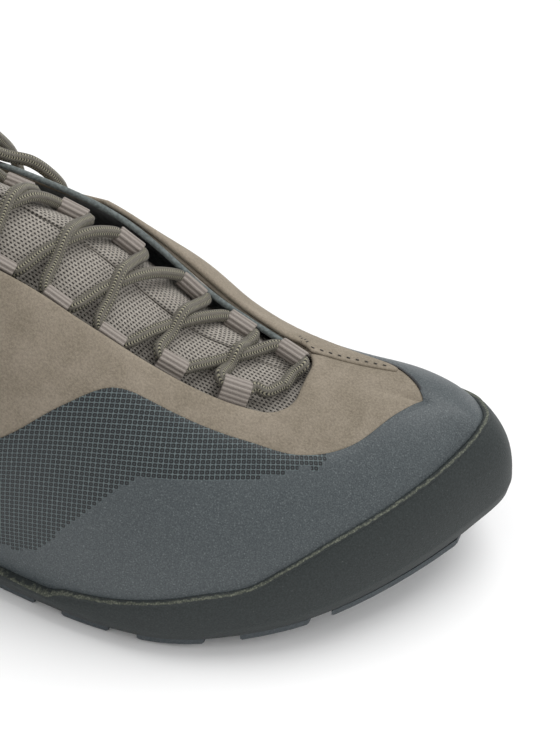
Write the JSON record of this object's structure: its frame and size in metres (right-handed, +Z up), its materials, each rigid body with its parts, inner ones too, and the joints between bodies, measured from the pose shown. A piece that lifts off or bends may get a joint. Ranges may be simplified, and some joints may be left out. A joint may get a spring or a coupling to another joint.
{
  "type": "approach shoe",
  "caption": "Right approach shoe: suede upper with a bonded film band, webbing lace loops, tied round lace, rubber rand and lugged sole.",
  "frame": {"origin": "on the floor, under the middle of the shoe's length and of the width of its sole", "axes": "+X towards the toe, +Y towards the inner (medial) side, +Z up"},
  "size_m": [0.2974, 0.1114, 0.1297],
  "materials": {
    "suede": "taupe suede, short nap",
    "film": "grey textured polyurethane film, satin",
    "rand_rubber": "dark grey-green moulded rubber, matte",
    "tread_rubber": "grey moulded rubber, matte",
    "foam": "grey moulded foam, matte",
    "footbed": "brushed knit",
    "knit": "taupe air mesh knit",
    "webbing": "ribbed woven webbing",
    "lace": "round braided lace",
    "lace_tip": "dark clear-coated sleeve"
  },
  "bodies": {
    "root": {"outsole": "tread_rubber", "midsole": "foam", "rand": "rand_rubber", "insole": "footbed", "upper": "suede", "film_overlay": "film", "eyestay_strip": "suede", "tongue": "knit", "lace_loop_lateral_1": "webbing", "lace_loop_lateral_2": "webbing", "lace_loop_lateral_3": "webbing", "lace_loop_lateral_4": "webbing", "lace_loop_lateral_5": "webbing", "lace_loop_lateral_6": "webbing", "lace_loop_lateral_7": "webbing", "lace_loop_medial_1": "webbing", "lace_loop_medial_2": "webbing", "lace_loop_medial_3": "webbing", "lace_loop_medial_4": "webbing", "lace_loop_medial_5": "webbing", "lace_loop_medial_6": "webbing", "lace_loop_medial_7": "webbing", "lace_crossings": "lace", "lace_knot": "lace", "lace_bow_medial": "lace", "lace_bow_lateral": "lace", "lace_end_medial": "lace", "lace_end_lateral": "lace", "lace_tip_medial": "lace_tip", "lace_tip_lateral": "lace_tip"}
  },
  "joints": []
}
